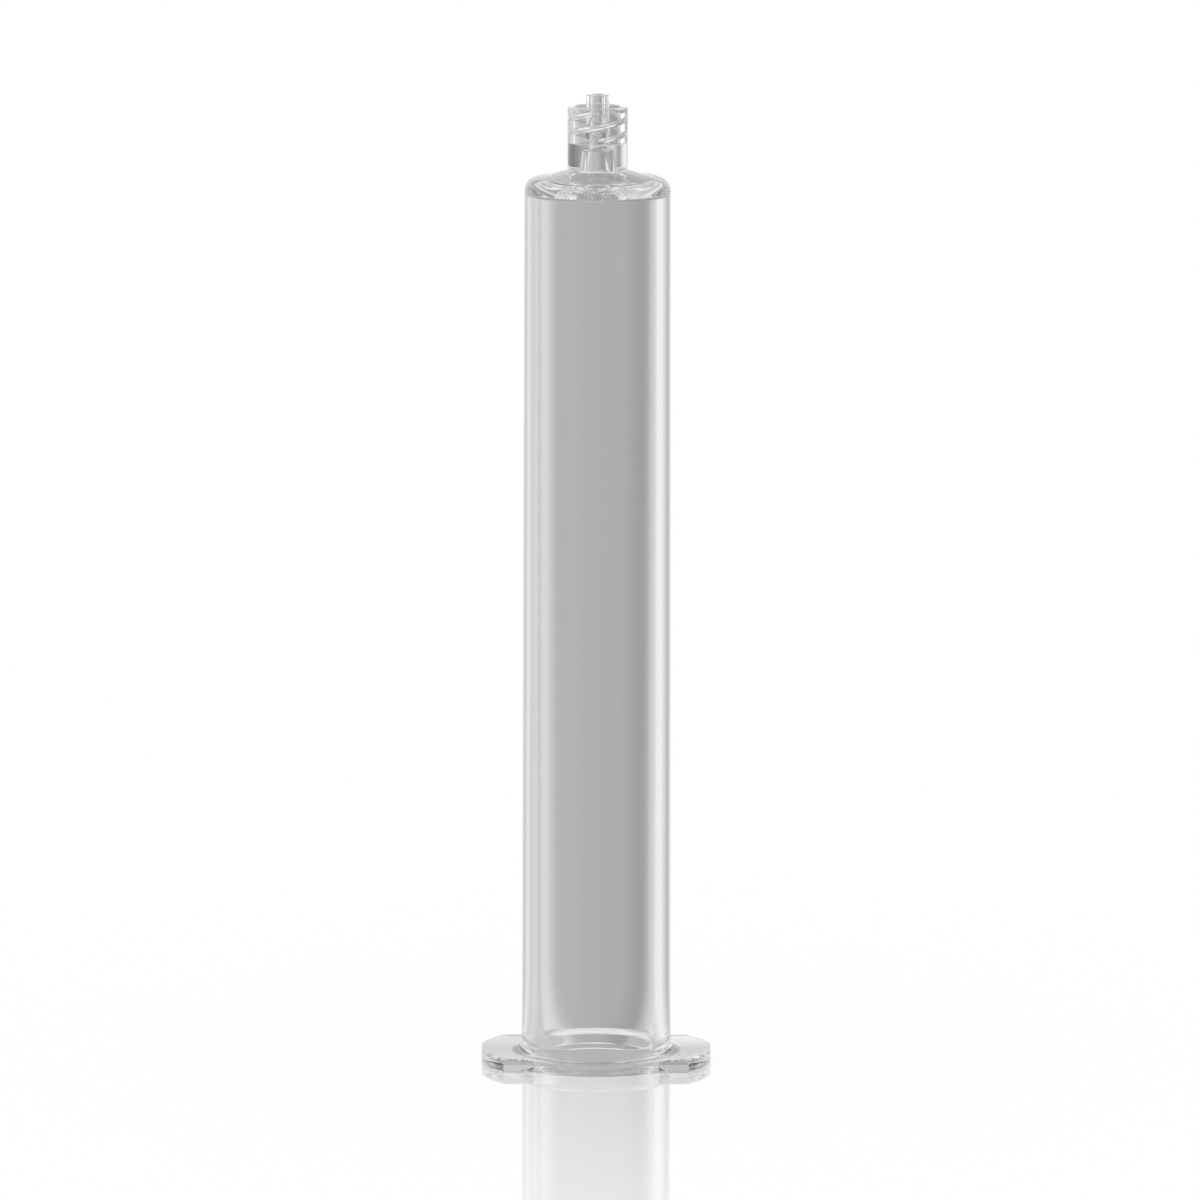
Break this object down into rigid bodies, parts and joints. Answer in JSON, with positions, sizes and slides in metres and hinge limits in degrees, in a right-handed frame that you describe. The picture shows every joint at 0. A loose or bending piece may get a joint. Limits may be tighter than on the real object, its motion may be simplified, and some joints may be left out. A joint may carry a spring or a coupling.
{
  "type": "syringe barrel",
  "caption": "Clear moulded syringe barrel with a straight bore, luer lock tip and eared finger flange, standing on its open end.",
  "frame": {"origin": "middle of the open mouth, on the plane that the flange stands on", "axes": "+Z along the bore towards the tip, +X through the right ear of the flange"},
  "size_m": [0.0408, 0.034, 0.1731],
  "materials": {
    "clear_plastic": "polished clear moulding, colourless with a faint grey body"
  },
  "bodies": {
    "root": {"flange_ring": "clear_plastic", "flange_ear_left": "clear_plastic", "flange_ear_right": "clear_plastic", "barrel_tube": "clear_plastic", "shoulder": "clear_plastic", "tip_hub": "clear_plastic", "lock_collar": "clear_plastic", "luer_nozzle": "clear_plastic"}
  },
  "joints": []
}
